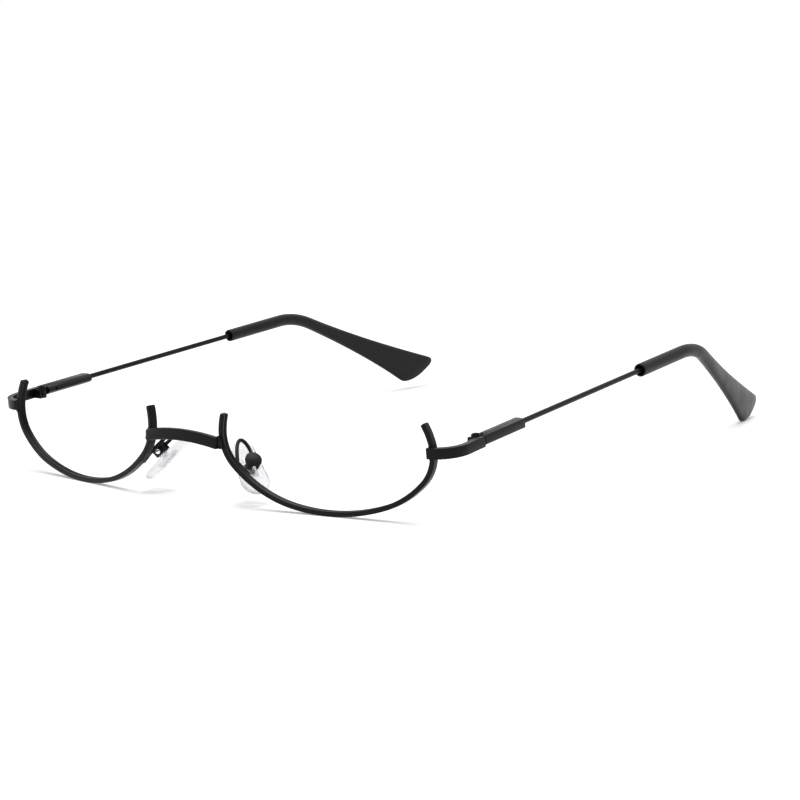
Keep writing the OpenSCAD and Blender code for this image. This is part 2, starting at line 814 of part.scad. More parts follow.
// Outline of the pad: two circles and the straight flanks between them
module pad_plan() {
  translate([0, low_at])
    circle(r = low_r);
  translate([0, high_at])
    circle(r = high_r);
  polygon([
    [(low_r - hair) * cos(flank), low_at + (low_r - hair) * sin(flank)],
    [(high_r - hair) * cos(flank), high_at + (high_r - hair) * sin(flank)],
    [(hair - high_r) * cos(flank), high_at + (high_r - hair) * sin(flank)],
    [(hair - low_r) * cos(flank), low_at + (low_r - hair) * sin(flank)]
  ]);
}

module nose_pad() {
  color([0.93, 0.94, 0.96, 0.5])
    pad_frame()
      difference() {
        intersection() {
          linear_extrude(height = pad_thick, center = true)
            pad_plan();
          translate([0, 0, dome_radius - pad_thick / 2 - dome_sunk])
            sphere(r = dome_radius, $fn = 120);
        }
        lug_shape(hair);
      }
}

bridge();
right() rim();  // rim_right
left() rim();  // rim_left
right() end_piece();  // end_piece_right
left() end_piece();  // end_piece_left
right() hinge_plate();  // hinge_plate_right
left() hinge_plate();  // hinge_plate_left
right() hinge_screw();  // hinge_screw_right
left() hinge_screw();  // hinge_screw_left
right() hinge_slider();  // hinge_slider_right
left() hinge_slider();  // hinge_slider_left
right() coil_spring();  // coil_spring_right
left() coil_spring();  // coil_spring_left
right() spring_box();  // spring_box_right
left() spring_box();  // spring_box_left
right() guide_pin();  // guide_pin_right
left() guide_pin();  // guide_pin_left
right() temple_bar();  // temple_bar_right
left() temple_bar();  // temple_bar_left
right() temple_wire(bend_turn_right, bend_lean_right);  // temple_wire_right
left() temple_wire(bend_turn_left, bend_lean_left);  // temple_wire_left
right() ear_tip(bend_turn_right, bend_lean_right);  // ear_tip_right
left() ear_tip(bend_turn_left, bend_lean_left);  // ear_tip_left
right() pad_arm();  // pad_arm_right
left() pad_arm();  // pad_arm_left
right() pad_cup();  // pad_cup_right
left() pad_cup();  // pad_cup_left
right() pad_screw();  // pad_screw_right
left() pad_screw();  // pad_screw_left
right() pad_core();  // pad_core_right
left() pad_core();  // pad_core_left
right() nose_pad();  // nose_pad_right
left() nose_pad();  // nose_pad_left
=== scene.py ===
# Half-frame eyeglasses, standing open on a pale table. The script follows the
# frame as it is put together: rims, bridge, end pieces, hinges, spring boxes,
# temple wires, ear tips, pad arms, pad cups and nose pads. Metres, Z up.
import json
import math

import bmesh
import bpy
from mathutils import Matrix, Vector, noise


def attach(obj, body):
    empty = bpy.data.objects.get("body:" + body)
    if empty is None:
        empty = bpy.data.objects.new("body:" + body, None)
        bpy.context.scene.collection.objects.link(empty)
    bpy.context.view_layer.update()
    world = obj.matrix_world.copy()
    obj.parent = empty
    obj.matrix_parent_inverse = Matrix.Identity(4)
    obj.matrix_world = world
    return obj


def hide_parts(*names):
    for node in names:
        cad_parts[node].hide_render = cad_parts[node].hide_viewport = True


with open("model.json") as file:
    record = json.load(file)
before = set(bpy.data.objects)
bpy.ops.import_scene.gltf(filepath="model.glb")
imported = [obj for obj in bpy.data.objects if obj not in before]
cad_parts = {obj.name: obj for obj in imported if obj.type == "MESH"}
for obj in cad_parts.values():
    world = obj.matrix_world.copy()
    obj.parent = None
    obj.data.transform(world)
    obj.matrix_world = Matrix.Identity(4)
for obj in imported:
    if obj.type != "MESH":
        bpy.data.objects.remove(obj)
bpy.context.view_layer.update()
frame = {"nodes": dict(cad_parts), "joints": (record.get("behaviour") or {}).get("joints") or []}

# Viewpoint
# A long lens looks at the frame from its right front and a little above, as
# for a catalogue picture. The two sides of the frame mirror each other, apart
# from the bend of the ear tips.
mm = 0.001
PHOTO_PIXELS = 800
joints = {joint["name"]: joint for joint in frame["joints"]}
pin = Vector(joints["fold_right"]["pos_m"])
pin_from_rims = 14.4 * mm
rim_plane_y = pin.y - pin_from_rims
view_azimuth = math.radians(38.16)
view_elevation = math.radians(9.12)
view_roll = math.radians(-1.34)
view_distance = 552.7 * mm
view_target = Vector((9.25 * mm, rim_plane_y + 60 * mm, 14.27 * mm))
pixels_per_metre = 4.205 / mm
sensor = 36.0

backwards = Vector((
    math.sin(view_azimuth) * math.cos(view_elevation),
    -math.cos(view_azimuth) * math.cos(view_elevation),
    math.sin(view_elevation),
))
camera_data = bpy.data.cameras.new("photo_camera")
camera_data.sensor_width = sensor
camera_data.lens = pixels_per_metre * view_distance * sensor / PHOTO_PIXELS
camera_data.clip_start = 0.02
camera_data.clip_end = 20
camera = bpy.data.objects.new("photo_camera", camera_data)
bpy.context.collection.objects.link(camera)
camera.matrix_world = (
    Matrix.Translation(view_target + backwards * view_distance)
    @ backwards.to_track_quat("Z", "Y").to_matrix().to_4x4()
    @ Matrix.Rotation(view_roll, 4, "Z")
)
bpy.context.scene.camera = camera

# Rims
# Each rim is one length of grooved metal wire, bent from seven arcs, with its
# edges rolled round and both ends cut and tumbled. It is painted semi-gloss black.
rim_wall = 1.15 * mm
rim_depth = 1.95 * mm
rim_edge = 0.26 * mm
groove_deep = 0.32 * mm
groove_wide = 0.9 * mm
rim_offset = 34.4 * mm
face_form = math.radians(9)
stub_reach = 25.3 * mm
stub_slope = math.radians(-57.5)
rim_arcs = [
    (15.2 * mm, 17.8), (8.8 * mm, 58.1), (22.3 * mm, 27.6), (43.2 * mm, 30.3),
    (29.4 * mm, 33.2), (10.0 * mm, 48.5), (16.7 * mm, 12.3),
]
rim_step = 1.1
end_loss = 0.35
end_shares = (0.0, 0.06, 0.2, 0.45)
crisp_angle = 0.7
rub_breadth = 22


def black_paint(name, base, rough, speckle=9000.0, specular=0.14):
    """A nearly black ground, a faint orange-peel surface and small changes of
    gloss where hands and tools have rubbed it: baked paint, or satin plastic."""
    material = bpy.data.materials.new(name)
    material.use_nodes = True
    nodes, links = material.node_tree.nodes, material.node_tree.links
    shader = nodes["Principled BSDF"]
    place = nodes.new("ShaderNodeTexCoord")
    peel = nodes.new("ShaderNodeTexNoise")
    peel.inputs["Scale"].default_value = speckle
    peel.inputs["Detail"].default_value = 3
    links.new(place.outputs["Object"], peel.inputs["Vector"])
    rub = nodes.new("ShaderNodeTexNoise")
    rub.inputs["Scale"].default_value = speckle / rub_breadth
    rub.inputs["Detail"].default_value = 5
    links.new(place.outputs["Object"], rub.inputs["Vector"])
    gloss = nodes.new("ShaderNodeMapRange")
    gloss.inputs["From Min"].default_value = 0.3
    gloss.inputs["From Max"].default_value = 0.7
    gloss.inputs["To Min"].default_value = rough - 0.05
    gloss.inputs["To Max"].default_value = rough + 0.07
    links.new(rub.outputs["Fac"], gloss.inputs["Value"])
    links.new(gloss.outputs["Result"], shader.inputs["Roughness"])
    tone = nodes.new("ShaderNodeValToRGB")
    tone.color_ramp.elements[0].position = 0.3
    tone.color_ramp.elements[0].color = [base * 0.8, base * 0.8, base * 0.82, 1]
    tone.color_ramp.elements[1].position = 0.75
    tone.color_ramp.elements[1].color = [base * 1.25, base * 1.25, base * 1.3, 1]
    links.new(rub.outputs["Fac"], tone.inputs["Fac"])
    links.new(tone.outputs["Color"], shader.inputs["Base Color"])
    bump = nodes.new("ShaderNodeBump")
    bump.inputs["Strength"].default_value = 0.12
    bump.inputs["Distance"].default_value = 0.02 * mm
    links.new(peel.outputs["Fac"], bump.inputs["Height"])
    links.new(bump.outputs["Normal"], shader.inputs["Normal"])
    shader.inputs["Specular IOR Level"].default_value = specular
    return material


frame_paint = black_paint("frame_paint", 0.003, 0.3)


def new_socket(tree, name, kind, value=None):
    """Gives a tree one more input, with its usual value where it has one."""
    socket = tree.interface.new_socket(name=name, in_out="INPUT", socket_type=kind)
    if value is not None:
        socket.default_value = value


def worked_out(tree, operation, first, second=None):
    """The result of a sum on one or two sockets, or on a socket and a number."""
    node = tree.nodes.new("ShaderNodeMath")
    node.operation = operation
    for place, value in zip(node.inputs, (first, second)):
        if isinstance(value, bpy.types.NodeSocket):
            tree.links.new(value, place)
        elif value is not None:
            place.default_value = value
    return node.outputs[0]


def start_tree(name):
    """An empty node tree with its geometry in and out."""
    tree = bpy.data.node_groups.new(name, "GeometryNodeTree")
    new_socket(tree, "Path", "NodeSocketGeometry")
    tree.interface.new_socket(name="Mesh", in_out="OUTPUT", socket_type="NodeSocketGeometry")
    entry = tree.nodes.new("NodeGroupInput")
    exit_node = tree.nodes.new("NodeGroupOutput")
    return tree, entry, exit_node


def end_tree(tree, entry, exit_node, mesh_socket):
    """Keeps crisp corners crisp, makes real geometry and gives the finish."""
    nodes, links = tree.nodes, tree.links
    angle = nodes.new("GeometryNodeInputMeshEdgeAngle")
    crisp = nodes.new("FunctionNodeCompare")
    crisp.data_type = "FLOAT"
    crisp.operation = "GREATER_THAN"
    crisp.inputs["B"].default_value = crisp_angle
    links.new(angle.outputs["Unsigned Angle"], crisp.inputs["A"])
    smooth = nodes.new("GeometryNodeSetShadeSmooth")
    smooth.domain = "FACE"
    links.new(mesh_socket, smooth.inputs[0])
    sharp = nodes.new("GeometryNodeSetShadeSmooth")
    sharp.domain = "EDGE"
    sharp.inputs["Shade Smooth"].default_value = False
    links.new(smooth.outputs[0], sharp.inputs[0])
    links.new(crisp.outputs["Result"], sharp.inputs["Selection"])
    real = nodes.new("GeometryNodeRealizeInstances")
    links.new(sharp.outputs[0], real.inputs[0])
    finish = nodes.new("GeometryNodeSetMaterial")
    links.new(real.outputs[0], finish.inputs["Geometry"])
    links.new(entry.outputs["Finish"], finish.inputs["Material"])
    links.new(finish.outputs[0], exit_node.inputs[0])


def grow(name, tree, points, settings, fullness=None):
    """Runs a tree on a path of points and returns the result as a plain mesh.
    The fullness of each point, if given, is there for the tree to read."""
    path = bpy.data.meshes.new(name + "_path")
    path.from_pydata([tuple(p) for p in points], [(i, i + 1) for i in range(len(points) - 1)], [])
    if fullness:
        path.attributes.new("fullness", "FLOAT", "POINT").data.foreach_set("value", fullness)
    piece = bpy.data.objects.new(name, path)
    bpy.context.collection.objects.link(piece)
    modifier = piece.modifiers.new("grow", "NODES")
    modifier.node_group = tree
    for item in tree.interface.items_tree:
        if item.item_type == "SOCKET" and item.in_out == "INPUT" and item.name in settings:
            modifier[item.identifier] = settings[item.name]
    shape = bpy.data.meshes.new_from_object(
        piece.evaluated_get(bpy.context.evaluated_depsgraph_get()))
    piece.modifiers.remove(modifier)
    if fullness:
        shape.attributes.remove(shape.attributes["fullness"])
    piece.data = shape
    shape.name = name
    bpy.data.meshes.remove(path)
    return piece


rim_tree, entry, exit_node = start_tree("grooved_rim")
new_socket(rim_tree, "Plane", "NodeSocketVector")
new_socket(rim_tree, "Wall", "NodeSocketFloat", rim_wall)
new_socket(rim_tree, "Depth", "NodeSocketFloat", rim_depth)
new_socket(rim_tree, "Edge", "NodeSocketFloat", rim_edge)
new_socket(rim_tree, "Groove deep", "NodeSocketFloat", groove_deep)
new_socket(rim_tree, "Groove wide", "NodeSocketFloat", groove_wide)
new_socket(rim_tree, "Finish", "NodeSocketMaterial")
nodes, links = rim_tree.nodes, rim_tree.links
to_curve = nodes.new("GeometryNodeMeshToCurve")
links.new(entry.outputs["Path"], to_curve.inputs[0])
upright = nodes.new("GeometryNodeSetCurveNormal")
upright.mode = "FREE"
links.new(to_curve.outputs[0], upright.inputs["Curve"])
links.new(entry.outputs["Plane"], upright.inputs["Normal"])
block = nodes.new("GeometryNodeCurvePrimitiveQuadrilateral")
links.new(entry.outputs["Depth"], block.inputs["Width"])
links.new(entry.outputs["Wall"], block.inputs["Height"])
rolled = nodes.new("GeometryNodeFilletCurve")
rolled.mode = "POLY"
rolled.inputs["Count"].default_value = 4
links.new(block.outputs[0], rolled.inputs["Curve"])
links.new(entry.outputs["Edge"], rolled.inputs["Radius"])
finer = nodes.new("GeometryNodeSubdivideCurve")
finer.inputs["Cuts"].default_value = 5
links.new(rolled.outputs[0], finer.inputs["Curve"])
spot = nodes.new("GeometryNodeInputPosition")
split = nodes.new("ShaderNodeSeparateXYZ")
links.new(spot.outputs[0], split.inputs[0])
from_middle = worked_out(rim_tree, "ABSOLUTE", split.outputs["X"])
half_groove = worked_out(rim_tree, "MULTIPLY", entry.outputs["Groove wide"], 0.5)
cut = nodes.new("ShaderNodeMapRange")
links.new(from_middle, cut.inputs["Value"])
links.new(half_groove, cut.inputs["From Max"])
cut.inputs["To Min"].default_value = -1
cut.inputs["To Max"].default_value = 0
deep = worked_out(rim_tree, "MULTIPLY", cut.outputs["Result"], entry.outputs["Groove deep"])
shift = nodes.new("ShaderNodeCombineXYZ")
links.new(deep, shift.inputs["Y"])
lens_side = nodes.new("FunctionNodeCompare")
lens_side.data_type = "FLOAT"
lens_side.operation = "GREATER_THAN"
lens_side.inputs["B"].default_value = 0.0
links.new(split.outputs["Y"], lens_side.inputs["A"])
grooved = nodes.new("GeometryNodeSetPosition")
links.new(finer.outputs[0], grooved.inputs["Geometry"])
links.new(lens_side.outputs["Result"], grooved.inputs["Selection"])
links.new(shift.outputs[0], grooved.inputs["Offset"])
sweep = nodes.new("GeometryNodeCurveToMesh")
sweep.inputs["Fill Caps"].default_value = True
links.new(upright.outputs[0], sweep.inputs["Curve"])
full = nodes.new("GeometryNodeInputNamedAttribute")
full.data_type = "FLOAT"
full.inputs["Name"].default_value = "fullness"
links.new(full.outputs["Attribute"], sweep.inputs["Scale"])
links.new(grooved.outputs[0], sweep.inputs["Profile Curve"])
end_tree(rim_tree, entry, exit_node, sweep.outputs[0])


def arc_steps(turn):
    """How many steps an arc of the rim is made of, by its turn in degrees."""
    return max(4, round(turn / rim_step))


def rim_route():
    """Points of the rim's middle line in its own plane, across and up, with
    the lowest point one half wall above the table."""
    spot_at = Vector((stub_reach, 0.0))
    heading = stub_slope
    points = [spot_at.copy()]
    for radius, turn in rim_arcs:
        middle = spot_at + radius * Vector((math.sin(heading), -math.cos(heading)))
        steps = arc_steps(turn)
        for i in range(1, steps + 1):
            angle = heading - math.radians(turn) * i / steps
            points.append(middle + radius * Vector((-math.sin(angle), math.cos(angle))))
        heading -= math.radians(turn)
        spot_at = points[-1]
    lift = rim_wall / 2 - min(p.y for p in points)
    return [Vector((p.x, p.y + lift)) for p in points]


def from_rim(across, back, up, side=1):
    """A place given in the rim's plane, in the part's own axes."""
    x = rim_offset + across * math.cos(face_form) - back * math.sin(face_form)
    y = rim_plane_y + across * math.sin(face_form) + back * math.cos(face_form)
    return Vector((side * x, y, up))


def tumbled(route):
    """The route with its first and last steps cut finer, and the wire's
    fullness at each point, which falls off at both ends."""
    fuller = [1 - end_loss * (1 - math.sqrt(1 - (1 - share) ** 2)) for share in end_shares]
    first = [route[0].lerp(route[1], share) for share in end_shares]
    last = [route[-1].lerp(route[-2], share) for share in reversed(end_shares)]
    middle = route[1:-1]
    return first + middle + last, fuller + [1.0] * len(middle) + fuller[::-1]


SIDES = (("right", 1), ("left", -1))
for side_name, side in SIDES:
    plane = Vector((side * math.sin(face_form), -math.cos(face_form), 0)) * side
    route, fullness = tumbled(rim_route())
    rim = grow("rim_wire_" + side_name, rim_tree,
               [from_rim(p.x, 0, p.y, side) for p in route],
               {"Plane": plane, "Finish": frame_paint}, fullness)
    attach(rim, "front")
    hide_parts("rim_" + side_name)

# Bridge
# A flat bar of the same metal, arched over the nose. Its back is soldered on
# the rims' front faces, its corners are tumbled round and it is painted over.
bridge_height = 14.1 * mm
bridge_drops = (
    (1.25 * mm, (0.42 * mm, 0.4 * mm, 0.4 * mm)),
    (0.15 * mm, (0.6 * mm, 0.65 * mm, 1.1 * mm)),
    (-0.7 * mm, (0.62 * mm, 0.62 * mm, 0.6 * mm)),
)
bridge_drop_inset = 0.32 * mm
bridge_drop_proud = 0.35 * mm
drop_half_deep = 0.36 * mm
drop_swell = 0.12
drop_grain = 1.6
seed_spread = 300


def softened(name, node, edge, material, body, segments=2, angle=35):
    """A copy of a machined solid with its sharp edges broken by a small round."""
    source = frame["nodes"][node]
    shape = source.data.copy()
    shape.name = name
    work = bmesh.new()
    work.from_mesh(shape)
    bmesh.ops.remove_doubles(work, verts=work.verts, dist=1e-7)
    bmesh.ops.dissolve_limit(work, angle_limit=math.radians(1.5), verts=work.verts,
                             edges=work.edges)
    work.to_mesh(shape)
    work.free()
    piece = bpy.data.objects.new(name, shape)
    bpy.context.collection.objects.link(piece)
    shape.materials.clear()
    shape.materials.append(material)
    shape.polygons.foreach_set("use_smooth", [True] * len(shape.polygons))
    bevel = piece.modifiers.new("broken_edge", "BEVEL")
    bevel.width = edge
    bevel.segments = segments
    bevel.limit_method = "ANGLE"
    bevel.angle_limit = math.radians(angle)
    bevel.harden_normals = True
    done = bpy.data.meshes.new_from_object(
        piece.evaluated_get(bpy.context.evaluated_depsgraph_get()))
    piece.modifiers.remove(bevel)
    piece.data = done
    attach(piece, body)
    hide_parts(node)
    return piece


softened("bridge_bar", "bridge", 0.4 * mm, frame_paint, "front", 4)


def solder(name, places, body):
    """Small smooth drops of solder under the paint, one mesh for a group.
    Each place is a middle, three half sizes and a turn about the upright."""
    work = bmesh.new()
    for middle, sizes, turn in places:
        seed = middle * seed_spread
        made = bmesh.ops.create_icosphere(work, subdivisions=3, radius=1)
        place = (Matrix.Translation(middle) @ Matrix.Rotation(turn, 4, "Z")
                 @ Matrix.Diagonal((*sizes, 1)))
        for vert in made["verts"]:
            swell = 1 + drop_swell * noise.noise(vert.co * drop_grain + seed)
            vert.co = place @ (vert.co * swell)
    shape = bpy.data.meshes.new(name)
    work.to_mesh(shape)
    work.free()
    shape.polygons.foreach_set("use_smooth", [True] * len(shape.polygons))
    shape.materials.append(frame_paint)
    piece = bpy.data.objects.new(name, shape)
    bpy.context.collection.objects.link(piece)
    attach(piece, body)


def rim_across(height, outer):
    """How far across the rim's middle line stands at a height above the table."""
    near = [p for p in rim_route() if (p.x > 0) == outer]
    return min(near, key=lambda p: abs(p.y - height)).x


face = -rim_depth / 2
for side_name, side in SIDES:
    drops = []
    for above, half_sizes in bridge_drops:
        height = bridge_height + above
        across = rim_across(height, False) - bridge_drop_inset
        drops.append((from_rim(across, face - bridge_drop_proud, height, side),
                      half_sizes, side * face_form))
    solder("bridge_solder_" + side_name, drops, "front")

# End pieces
# A flat bar soldered on each rim's front face, bent back to the hinge round
# its own thickness. The seam to the temple is cut square across it.
arm_height = 15.2 * mm
arm_half_high = 1.15 * mm
end_drop_out = 0.05 * mm
end_drop_proud = 0.02 * mm
end_drops = (
    (arm_half_high + end_drop_out, 0.5 * mm, 0.35 * mm),
    (-arm_half_high - end_drop_out, 0.55 * mm, 0.4 * mm),
)
for side_name, side in SIDES:
    softened("end_bar_" + side_name, "end_piece_" + side_name, 0.28 * mm,
             frame_paint, "front", 4)
    drops = []
    for above, half_wide, half_high in end_drops:
        across = rim_across(arm_height + above, True)
        drops.append((from_rim(across, face - end_drop_proud, arm_height + above, side),
                      (half_wide, drop_half_deep, half_high), side * face_form))
    solder("end_solder_" + side_name, drops, "front")

# Hinges
# A fixed two-leaf knuckle is soldered behind each end piece, the sprung
# slider's knuckle turns between its leaves, and a slotted screw joins them.
screw_black = black_paint("screw_black", 0.002, 0.5)


def bare_steel(name, tone, rough):
    """Turned steel with fine lathe lines along its own axes."""
    material = bpy.data.materials.new(name)
    material.use_nodes = True
    nodes, links = material.node_tree.nodes, material.node_tree.links
    shader = nodes["Principled BSDF"]
    shader.inputs["Metallic"].default_value = 1.0
    place = nodes.new("ShaderNodeTexCoord")
    lines = nodes.new("ShaderNodeTexNoise")
    lines.inputs["Scale"].default_value = 6000
    lines.inputs["Detail"].default_value = 4
    links.new(place.outputs["Object"], lines.inputs["Vector"])
    tint = nodes.new("ShaderNodeValToRGB")
    tint.color_ramp.elements[0].color = [tone * 0.85, tone * 0.85, tone * 0.87, 1]
    tint.color_ramp.elements[1].color = [tone, tone, tone * 1.01, 1]
    links.new(lines.outputs["Fac"], tint.inputs["Fac"])
    links.new(tint.outputs["Color"], shader.inputs["Base Color"])
    gloss = nodes.new("ShaderNodeMapRange")
    gloss.inputs["To Min"].default_value = rough - 0.06
    gloss.inputs["To Max"].default_value = rough + 0.08
    links.new(lines.outputs["Fac"], gloss.inputs["Value"])
    links.new(gloss.outputs["Result"], shader.inputs["Roughness"])
    return material


hinge_steel = bare_steel("hinge_steel", 0.6, 0.3)
for side_name, side in SIDES:
    softened("knuckle_" + side_name, "hinge_plate_" + side_name, 0.1 * mm,
             frame_paint, "front")
    softened("pivot_screw_" + side_name, "hinge_screw_" + side_name, 0.05 * mm,
             screw_black, "front")
    softened("slider_" + side_name, "hinge_slider_" + side_name, 0.04 * mm,
             frame_paint, "slider_" + side_name)

# Spring boxes
# A square block, bored for the coil spring and soldered inside the flat outer
# bar. A short pin closes the hole through which the slider was pinned.
closing_inset = 0.22 * mm
temple_toe = math.radians(2)
temple_rise = math.radians(5.05)
coil_turns = 14
coil_radius = 0.525 * mm
coil_wire = 0.13 * mm
coil_first = 2.58 * mm
coil_last = 11.52 * mm
turn_steps = 20


def from_temple(p, side=1):
    """A place given along the temple (across, back, up), in the part's axes."""
    turned = Matrix.Rotation(temple_toe, 3, "Z") @ Matrix.Rotation(temple_rise, 3, "X") @ Vector(p)
    placed = turned + pin
    return Vector((side * placed.x, placed.y, placed.z))


wire_tree, entry, exit_node = start_tree("round_wire")
new_socket(wire_tree, "Radius", "NodeSocketFloat")
new_socket(wire_tree, "Sides", "NodeSocketInt")
new_socket(wire_tree, "Finish", "NodeSocketMaterial")
nodes, links = wire_tree.nodes, wire_tree.links
to_curve = nodes.new("GeometryNodeMeshToCurve")
links.new(entry.outputs["Path"], to_curve.inputs[0])
ring = nodes.new("GeometryNodeCurvePrimitiveCircle")
links.new(entry.outputs["Sides"], ring.inputs["Resolution"])
links.new(entry.outputs["Radius"], ring.inputs["Radius"])
sweep = nodes.new("GeometryNodeCurveToMesh")
sweep.inputs["Fill Caps"].default_value = True
links.new(to_curve.outputs[0], sweep.inputs["Curve"])
links.new(ring.outputs[0], sweep.inputs["Profile Curve"])
end_tree(wire_tree, entry, exit_node, sweep.outputs[0])

for side_name, side in SIDES:
    body = "temple_" + side_name
    softened("spring_block_" + side_name, "spring_box_" + side_name, 0.22 * mm,
             frame_paint, body, 3)
    softened("outer_bar_" + side_name, "temple_bar_" + side_name, 0.22 * mm,
             frame_paint, body, 3)
    closing = softened("closing_pin_" + side_name, "guide_pin_" + side_name, 0.03 * mm,
                       screw_black, body)
    inwards = from_temple((closing_inset, 0, 0), side) - from_temple((0, 0, 0), side)
    closing.data.transform(Matrix.Translation(inwards))
    helix = []
    steps = coil_turns * turn_steps
    for i in range(steps + 1):
        angle = 2 * math.pi * i / turn_steps
        helix.append(from_temple((coil_radius * math.cos(angle),
                                  coil_first + (coil_last - coil_first) * i / steps,
                                  coil_radius * math.sin(angle)), side))
    coil = grow("coil_" + side_name, wire_tree, helix,
                {"Radius": coil_wire, "Sides": 8, "Finish": hinge_steel})
    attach(coil, body)
    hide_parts("coil_spring_" + side_name)

# Temple wires
# One round wire a side, soldered between the bar and the block. It runs on
# inside the ear tip, round the bend, so that the tip can be bent to fit.
wire_radius = 0.6 * mm
pin_inset = 2.4 * mm
wire_inset = 1.5 * mm
wire_across = pin_inset - wire_inset
bar_end = 15.4 * mm
bend_start = 85.6 * mm
bend_radius = 23.5 * mm
bend_turns = {1: math.radians(33.15), -1: math.radians(29.1)}
bend_leans = {1: math.radians(19.7), -1: math.radians(11.4)}
bend_ends = {side: bend_start + bend_radius * turn for side, turn in bend_turns.items()}
core_past_bend = 26 * mm
wire_in_bar = 1 * mm
wire_drop_out = 0.05 * mm
wire_drop = (0.78 * mm, 0.5 * mm, 0.78 * mm)


def along_temple(distance, across=0.0, up=0.0, side=1):
    """A place beside the wire's middle line, at a distance from the hinge."""
    if distance <= bend_start:
        return from_temple((wire_across + across, distance, up), side)
    turn = min(bend_turns[side], (distance - bend_start) / bend_radius)
    past = max(0.0, distance - bend_ends[side])
    lean = Matrix.Rotation(bend_leans[side], 3, "Y")
    offset = lean.inverted() @ Vector((across, past, up))
    swung = Matrix.Rotation(-turn, 3, "X") @ (offset + Vector((0, 0, bend_radius)))
    local = lean @ (swung - Vector((0, 0, bend_radius)))
    return from_temple(local + Vector((wire_across, bend_start, 0)), side)


def spread(start, stop, steps):
    """Evenly spaced values from start to stop, both included."""
    return [start + (stop - start) * i / steps for i in range(steps + 1)]


for side_name, side in SIDES:
    bend_end = bend_ends[side]
    stops = (spread(bar_end - wire_in_bar, bend_start, 12) + spread(bend_start, bend_end, 24)[1:]
             + spread(bend_end, bend_end + core_past_bend, 6)[1:])
    wire = grow("side_wire_" + side_name, wire_tree,
                [along_temple(d, side=side) for d in stops],
                {"Radius": wire_radius, "Sides": 28, "Finish": frame_paint})
    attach(wire, "temple_" + side_name)
    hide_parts("temple_wire_" + side_name)
    solder("wire_solder_" + side_name,
           [(from_temple((wire_across, bar_end + wire_drop_out, 0), side), wire_drop,
             side * temple_toe)], "temple_" + side_name)

# Ear tips
# A moulded sleeve of black plastic pushed over the wire: an open round mouth,
# a round part over the bend, and a flared flat end with rounded corners.
tip_radius = 1.55 * mm
mouth_start = 66.2 * mm
mouth_radius = 1.15 * mm
mouth_deep = 5 * mm
paddle_long = 46 * mm
paddle_half = 5.2 * mm
paddle_thick_half = 1.1 * mm
paddle_skew = 8 * mm
upper_corner = 2.3 * mm
lower_corner = 4 * mm
tip_edge = 0.4 * mm
tip_sides = 40
blend_share = 0.35
early_flare = 0.75 * mm
squarer = 0.25
bore_bottom = 0.02 * mm
bore_top = 0.25 * mm
end_round = 0.002 * mm
end_shrink = 0.86
tip_plastic = black_paint("tip_plastic", 0.005, 0.36, speckle=5200.0, specular=0.17)


def flare(share):
    """Half the width of the flared end at a share of its length."""
    return tip_radius + early_flare * share + (paddle_half - tip_radius - early_flare) * share ** 2


def cut_off(past, radius):
    """What a corner of that radius takes off the width."""
    return radius - math.sqrt(max(0.0, radius ** 2 - max(0.0, past - paddle_long + radius) ** 2))


def tip_section(past):
    """Half thickness, both half widths, squareness and skew behind the bend."""
    if past <= 0:
        return tip_radius, tip_radius, tip_radius, 1.0, 0.0
    share = min(past, paddle_long) / paddle_long
    flat = min(1.0, share / blend_share)
    thick = tip_radius + (paddle_thick_half - tip_radius) * flat
    thick -= tip_edge * cut_off(past, lower_corner) / lower_corner
    return (thick, flare(share) - cut_off(past, upper_corner),
            flare(share) - cut_off(past, lower_corner), 1 - squarer * flat,
            paddle_skew / 2 * share ** 2)


def bulge(value, power):
    """A power of the value that keeps its sign, to square off a circle."""
    return math.copysign(abs(value) ** power, value)


def tip_ring(distance, side, radius=None, shrink=1.0):
    """A ring of points round the tip, or a plain circle of the given radius."""
    thick, upper, lower, power, skew = tip_section(distance - bend_ends[side])
    if radius is not None:
        thick = upper = lower = radius
        power, skew = 1.0, 0.0
    ring_points = []
    for i in range(tip_sides):
        angle = 2 * math.pi * i / tip_sides
        across = thick * bulge(math.cos(angle), power) * shrink
        up = (upper if i < tip_sides / 2 else lower) * bulge(math.sin(angle), power) * shrink
        ring_points.append(along_temple(distance + skew * up / paddle_half, across, up, side))
    return ring_points


def loft(name, rings, material):
    """Joins rings of points with faces and closes both ends."""
    count = len(rings[0])
    verts = [p for ring_points in rings for p in ring_points]
    faces = []
    for k in range(len(rings) - 1):
        for i in range(count):
            j = (i + 1) % count
            faces.append((k * count + i, k * count + j, (k + 1) * count + j, (k + 1) * count + i))
    last = (len(rings) - 1) * count
    faces.append(tuple(range(count - 1, -1, -1)))
    faces.append(tuple(last + i for i in range(count)))
    shape = bpy.data.meshes.new(name)
    shape.from_pydata([tuple(v) for v in verts], [], faces)
    work = bmesh.new()
    work.from_mesh(shape)
    bmesh.ops.recalc_face_normals(work, faces=work.faces)
    work.to_mesh(shape)
    work.free()
    shape.polygons.foreach_set("use_smooth", [True] * len(shape.polygons))
    shape.materials.append(material)
    piece = bpy.data.objects.new(name, shape)
    bpy.context.collection.objects.link(piece)
    return piece


